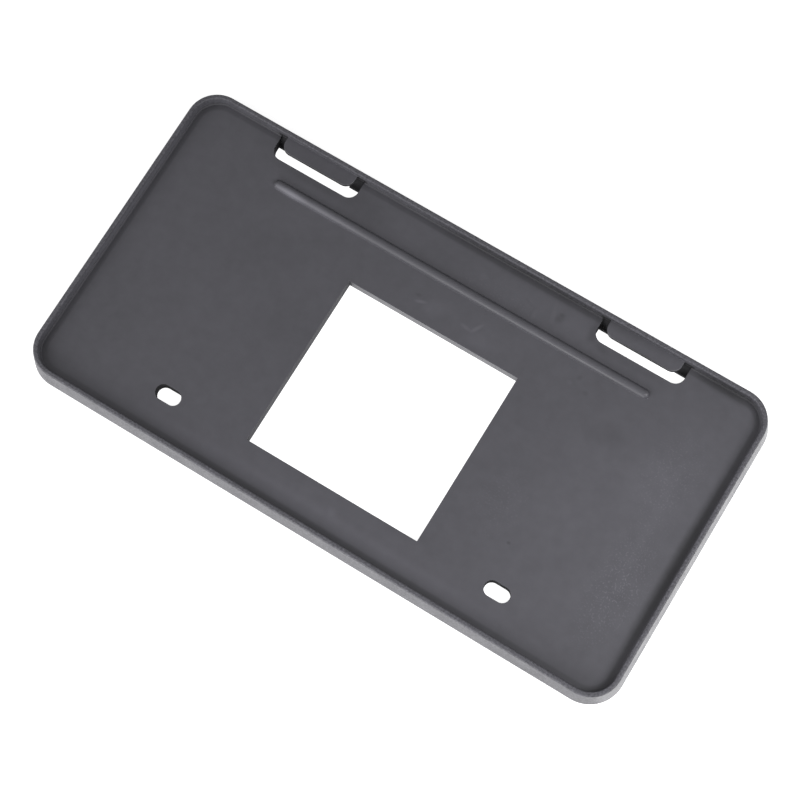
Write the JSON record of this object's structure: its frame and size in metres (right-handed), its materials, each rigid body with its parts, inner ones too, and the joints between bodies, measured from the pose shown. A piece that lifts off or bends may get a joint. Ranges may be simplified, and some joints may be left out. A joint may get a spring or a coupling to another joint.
{
  "type": "number plate holder",
  "caption": "Rectangular moulded plastic tray for a car number plate, with a raised rim, clip tabs at its top edge, a long bead, a window and bolt slots.",
  "frame": {"origin": "middle of the holder's outline, on the plane of its back", "axes": "X runs along the plate, Y runs up it towards the clip tabs, and Z comes out of its face"},
  "size_m": [0.3164, 0.164, 0.013],
  "materials": {
    "moulded_plastic": "dark grey injection-moulded plastic with a fine matte grain, a little brighter along its rounded edges"
  },
  "bodies": {
    "root": {"plate_holder": "moulded_plastic"}
  },
  "joints": []
}
